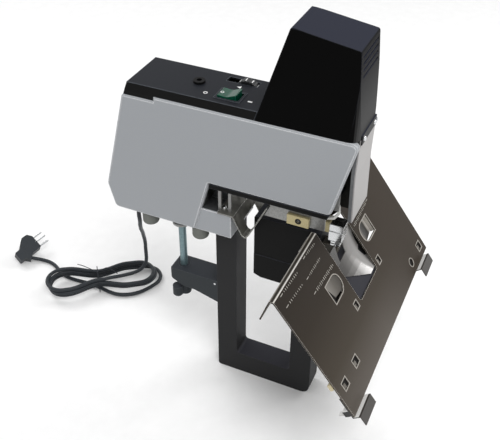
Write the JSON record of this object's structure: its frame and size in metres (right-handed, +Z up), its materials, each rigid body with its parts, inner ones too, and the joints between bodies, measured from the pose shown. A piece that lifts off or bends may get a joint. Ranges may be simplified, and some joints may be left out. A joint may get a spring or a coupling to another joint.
{
  "type": "electric saddle stapler",
  "caption": "Electric saddle stapler on a U-shaped stand frame, with a sloping saddle table, anvil housing, solenoid head and table clamp, for stapling booklets through the fold.",
  "frame": {"origin": "middle of the stand frame's foot, on the floor", "axes": "+Z up, -Y to the operator, X across the machine along the saddle's crest"},
  "size_m": [0.337, 0.6939, 0.5696],
  "materials": {
    "black_casting": "textured black paint",
    "black_plastic": "fine matt grain",
    "grey_paint": "satin grey paint",
    "dark_steel": "brushed, dark bronze-grey",
    "bright_steel": "plated",
    "plain_steel": "plain",
    "zinc_steel": "zinc plated",
    "brass_tone": "satin",
    "beige_strip": "matt",
    "green_plastic": "gloss, translucent green",
    "grey_plastic": "matt",
    "white_plastic": "matt",
    "grey_rubber": "matt",
    "black_cord": "matt",
    "copper_coil": "wound and taped",
    "green_board": "lacquered"
  },
  "bodies": {
    "body": {"frame": "black_casting", "clamp_arm": "black_casting", "arm_pin": "bright_steel", "clamp_bush": "black_casting", "base_pan": "grey_paint", "frame_bolts": "bright_steel", "left_cover": "grey_paint", "right_cover": "grey_paint", "rear_cover": "grey_paint", "top_cover": "black_plastic", "head_cover": "black_plastic", "lower_trim": "black_plastic", "front_guard": "bright_steel", "guard_screws": "bright_steel", "chassis": "plain_steel", "cross_bars": "plain_steel", "bearing_blocks": "brass_tone", "lever_shaft": "plain_steel", "driver_guide": "plain_steel", "nose_block": "plain_steel", "magazine": "plain_steel", "staple_strip": "bright_steel", "solenoid_yoke": "plain_steel", "solenoid_coil": "copper_coil", "anvil_housing": "black_plastic", "housing_base": "black_plastic", "anvil_die": "brass_tone", "anvil_holder": "bright_steel", "anvil_bracket": "brass_tone", "front_shield": "bright_steel", "table_bracket": "black_casting", "table_shaft": "plain_steel", "throat_guide": "dark_steel", "guide_bolts": "bright_steel", "rubber_feet": "grey_rubber", "control_board": "green_board", "transformer": "plain_steel", "rocker_bezel": "black_plastic", "wheel_axle": "bright_steel", "pedal_socket": "black_plastic", "cord_gland": "black_cord", "cord_drop": "black_cord", "cord_hank": "black_cord", "hank_tie": "black_plastic", "cord_tail": "black_cord", "plug_body": "black_cord", "plug_pins": "bright_steel"},
    "saddle": {"saddle_table": "dark_steel", "table_bar": "beige_strip"},
    "stop_near": {"stop_near": "dark_steel"},
    "stop_far": {"stop_far": "dark_steel"},
    "driver": {"plunger": "plain_steel", "driver_blade": "plain_steel"},
    "pusher": {"staple_pusher": "grey_plastic"},
    "trigger": {"trigger_lever": "white_plastic"},
    "rocker": {"rocker": "green_plastic"},
    "wheel": {"power_wheel": "grey_plastic"},
    "clamp_pad": {"clamp_pad": "plain_steel"},
    "clamp_screw": {"clamp_spindle": "zinc_steel", "clamp_knob": "black_plastic"}
  },
  "joints": [
    {"name": "table_tilt", "type": "hinge", "parent": "body", "child": "saddle", "pos_m": [0, -0.0581, 0.288], "axis": [-1, 0, 0], "range_deg": [0, 52.8]},
    {"name": "stop_near_slide", "type": "slide", "parent": "saddle", "child": "stop_near", "axis": [1, 0, 0], "range_m": [0, 0.06]},
    {"name": "stop_far_slide", "type": "slide", "parent": "saddle", "child": "stop_far", "axis": [-1, 0, 0], "range_m": [-0.0175, 0.0425]},
    {"name": "driver_stroke", "type": "slide", "parent": "body", "child": "driver", "axis": [0, 0, -1], "range_m": [0, 0.014], "stiffness_N_per_m": 300, "springref_m": -0.01},
    {"name": "pusher_slide", "type": "slide", "parent": "body", "child": "pusher", "axis": [0, 1, 0], "range_m": [0, 0.06], "stiffness_N_per_m": 20, "springref_m": -0.06},
    {"name": "trigger_swing", "type": "hinge", "parent": "body", "child": "trigger", "pos_m": [-0.017, -0.0477, 0.3255], "axis": [-1, 0, 0], "range_deg": [0, 8]},
    {"name": "rocker_tilt", "type": "hinge", "parent": "body", "child": "rocker", "pos_m": [-0.0145, 0.0505, 0.461], "axis": [1, 0, 0], "range_deg": [0, 18]},
    {"name": "wheel_turn", "type": "hinge", "parent": "body", "child": "wheel", "pos_m": [0.0225, 0.0445, 0.452], "axis": [1, 0, 0], "range_deg": [-130, 130]},
    {"name": "clamp_lift", "type": "slide", "parent": "body", "child": "clamp_pad", "axis": [0, 0, 1], "range_m": [-0.06, 0.002]},
    {"name": "clamp_turn", "type": "hinge", "parent": "clamp_pad", "child": "clamp_screw", "pos_m": [0, 0.1325, 0.18], "axis": [0, 0, 1], "range_deg": [-7206, 246]}
  ],
  "couplings": [
    {"joint": "clamp_turn", "follows": "clamp_lift", "rad_per_m": 2094.4}
  ]
}
